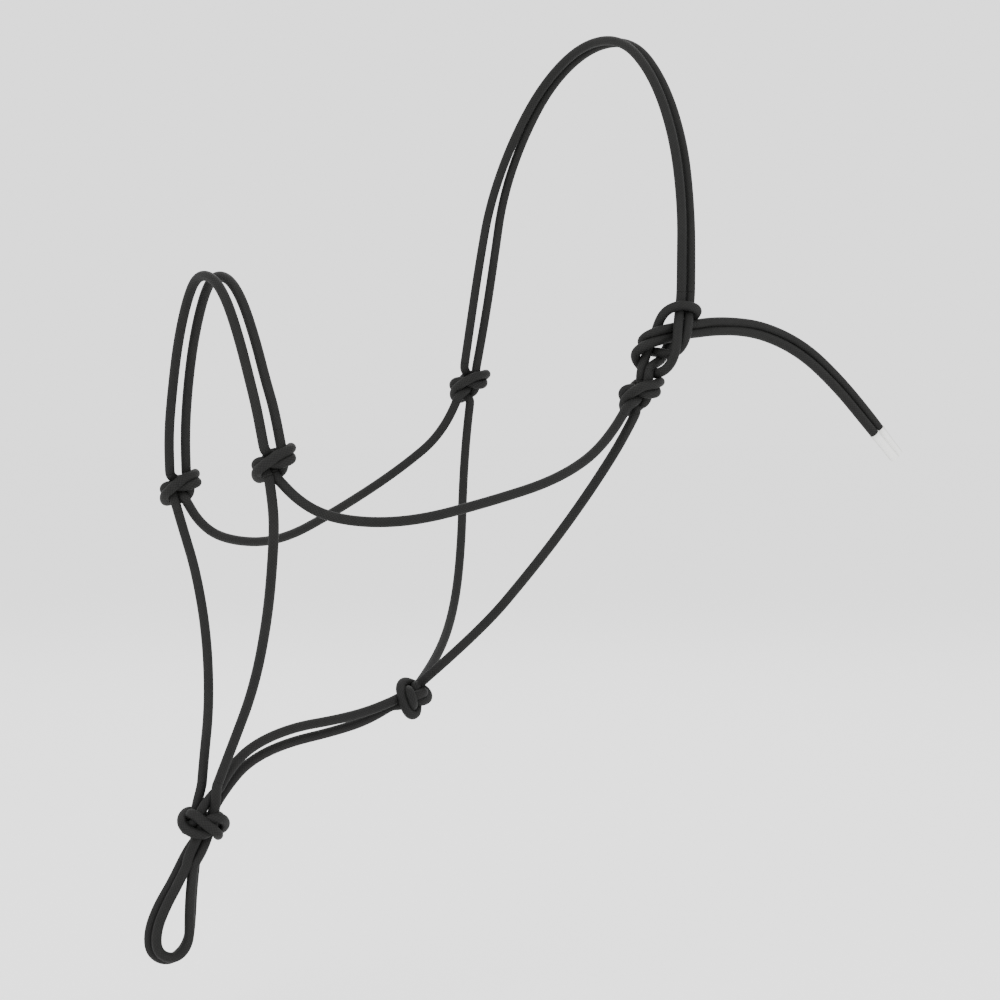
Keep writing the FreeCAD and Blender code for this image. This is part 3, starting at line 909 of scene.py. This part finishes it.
def sleeveMaterial(finish):
    # white plastic, greyer in a few lines along it, with painted shade towards its lip
    material = bpy.data.materials.new("whiteSleeve")
    material.use_nodes = True
    tree = material.node_tree
    put, calc = nodeTree(tree)
    shader = tree.nodes["Principled BSDF"]
    split = tree.nodes.new("ShaderNodeSeparateXYZ")
    tree.links.new(put("ShaderNodeUVMap", uv_map="lay"), split.inputs[0])
    wave = calc("COSINE", calc("MULTIPLY", split.outputs[0], finish["lines"] * math.pi))
    lines = calc("POWER", calc("ABSOLUTE", wave), finish["lineSharpness"])
    mottled = put("ShaderNodeTexNoise", {"Vector": put("ShaderNodeTexCoord", output=3),
                                         "Scale": finish["mottleScale"], "Detail": finish["mottleDetail"]})
    # painted shade: greyer towards the lip, where the sleeve lies over the rope
    lip = calc("POWER", calc("SUBTRACT", 1.0, split.outputs[1]), finish["lipSharpness"])
    grey = calc("ADD", calc("MULTIPLY", lines, finish["lineGrey"]), calc("MULTIPLY", lip, finish["lipPaintedShade"]))
    grey = calc("MULTIPLY", calc("ADD", grey, finish["grey"]), calc("ADD", mottled, finish["mottle"]))
    colour = put("ShaderNodeMix", {0: calc("MINIMUM", grey, 1.0), 6: finish["plastic"], 7: finish["greyAndShade"]},
                 output=2, data_type="RGBA")
    tree.links.new(colour, shader.inputs["Base Color"])
    rough = calc("ADD", finish["roughness"], calc("MULTIPLY", mottled, finish["roughMottle"]))
    tree.links.new(rough, shader.inputs["Roughness"])
    bump = put("ShaderNodeBump", {"Strength": finish["bump"], "Distance": finish["relief"],
                                  "Height": mottled})
    tree.links.new(bump, shader.inputs["Normal"])
    shader.inputs["Coat Weight"].default_value = finish["coat"]
    return material


white = sleeveMaterial(sleeveFinish)
tipRings = 6  # over which a rope end's direction is read
upperSleeve = addSleeve("upper_tip", centres[0], centres[0] - centres[tipRings], white)
lowerSleeve = addSleeve("lower_tip", centres[-1], centres[-1] - centres[-1 - tipRings], white)

# Every stretch between knots is a free cord; the tails end in their sleeves
for node, piece in pieces.items():
    first, last = endsOf[node][0]
    ringLine = centres[first:last + 1]
    tail = {"upper_tail": upperSleeve, "lower_tail": lowerSleeve}.get(node)
    if node == "upper_tail":
        ringLine = ringLine[::-1]
    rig.cord(piece, exit=ringLine[0], length=float(arcLength(ringLine)[-1]), diameter=rope["diameter"],
            far_end="fitting" if tail else "object", stiffness="medium", lay="hanging",
            path=ringLine, with_pieces=[tail] if tail else [])


# The studio: a wide floor this far below the part, a surround, and lights as (name, place, power, width)
studio = {"floorDrop": 0.060, "floorHalf": 30.0, "floorWhite": (0.99, 0.99, 0.99, 1), "surround": 1.9,
          "lights": (("key", (0.9, -1.9, 1.2), 34, 1.4), ("fill", (2.0, 0.8, 0.2), 16, 1.6),
                     ("back", (-1.6, 0.9, 1.4), 18, 1.4))}


def addStudio(low, studio):
    # a wide pale floor clear below the lead loop, a pale surround and three large soft lights
    half = studio["floorHalf"]
    mesh = bpy.data.meshes.new("floor")
    mesh.from_pydata([(-half, -half, low), (half, -half, low), (half, half, low), (-half, half, low)], [],
                     [(0, 1, 2, 3)])
    floor = bpy.data.objects.new("floor", mesh)
    material = bpy.data.materials.new("paleFloor")
    material.use_nodes = True
    shader = material.node_tree.nodes["Principled BSDF"]
    shader.inputs["Base Color"].default_value = studio["floorWhite"]
    shader.inputs["Roughness"].default_value = 1.0
    shader.inputs["Specular IOR Level"].default_value = 0.0
    mesh.materials.append(material)
    bpy.context.scene.collection.objects.link(floor)
    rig.stage(floor)
    world = bpy.data.worlds.new("surround")
    world.use_nodes = True
    world.node_tree.nodes["Background"].inputs[0].default_value = (1, 1, 1, 1)
    world.node_tree.nodes["Background"].inputs[1].default_value = studio["surround"]
    bpy.context.scene.world = world
    target = Vector(shot["target"])
    for name, place, power, width in studio["lights"]:
        data = bpy.data.lights.new(name, "AREA")
        data.energy, data.size = power, width
        light = bpy.data.objects.new(name, data)
        light.location = place
        light.rotation_euler = (target - Vector(place)).to_track_quat("-Z", "Y").to_euler()
        bpy.context.scene.collection.objects.link(light)


addStudio(cadBox[0][2] - studio["floorDrop"], studio)

with open("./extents.json", "w") as sizeFile:
    json.dump({"cad": cadBox, "visual": [list(map(float, corner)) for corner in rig.bounds()]}, sizeFile)
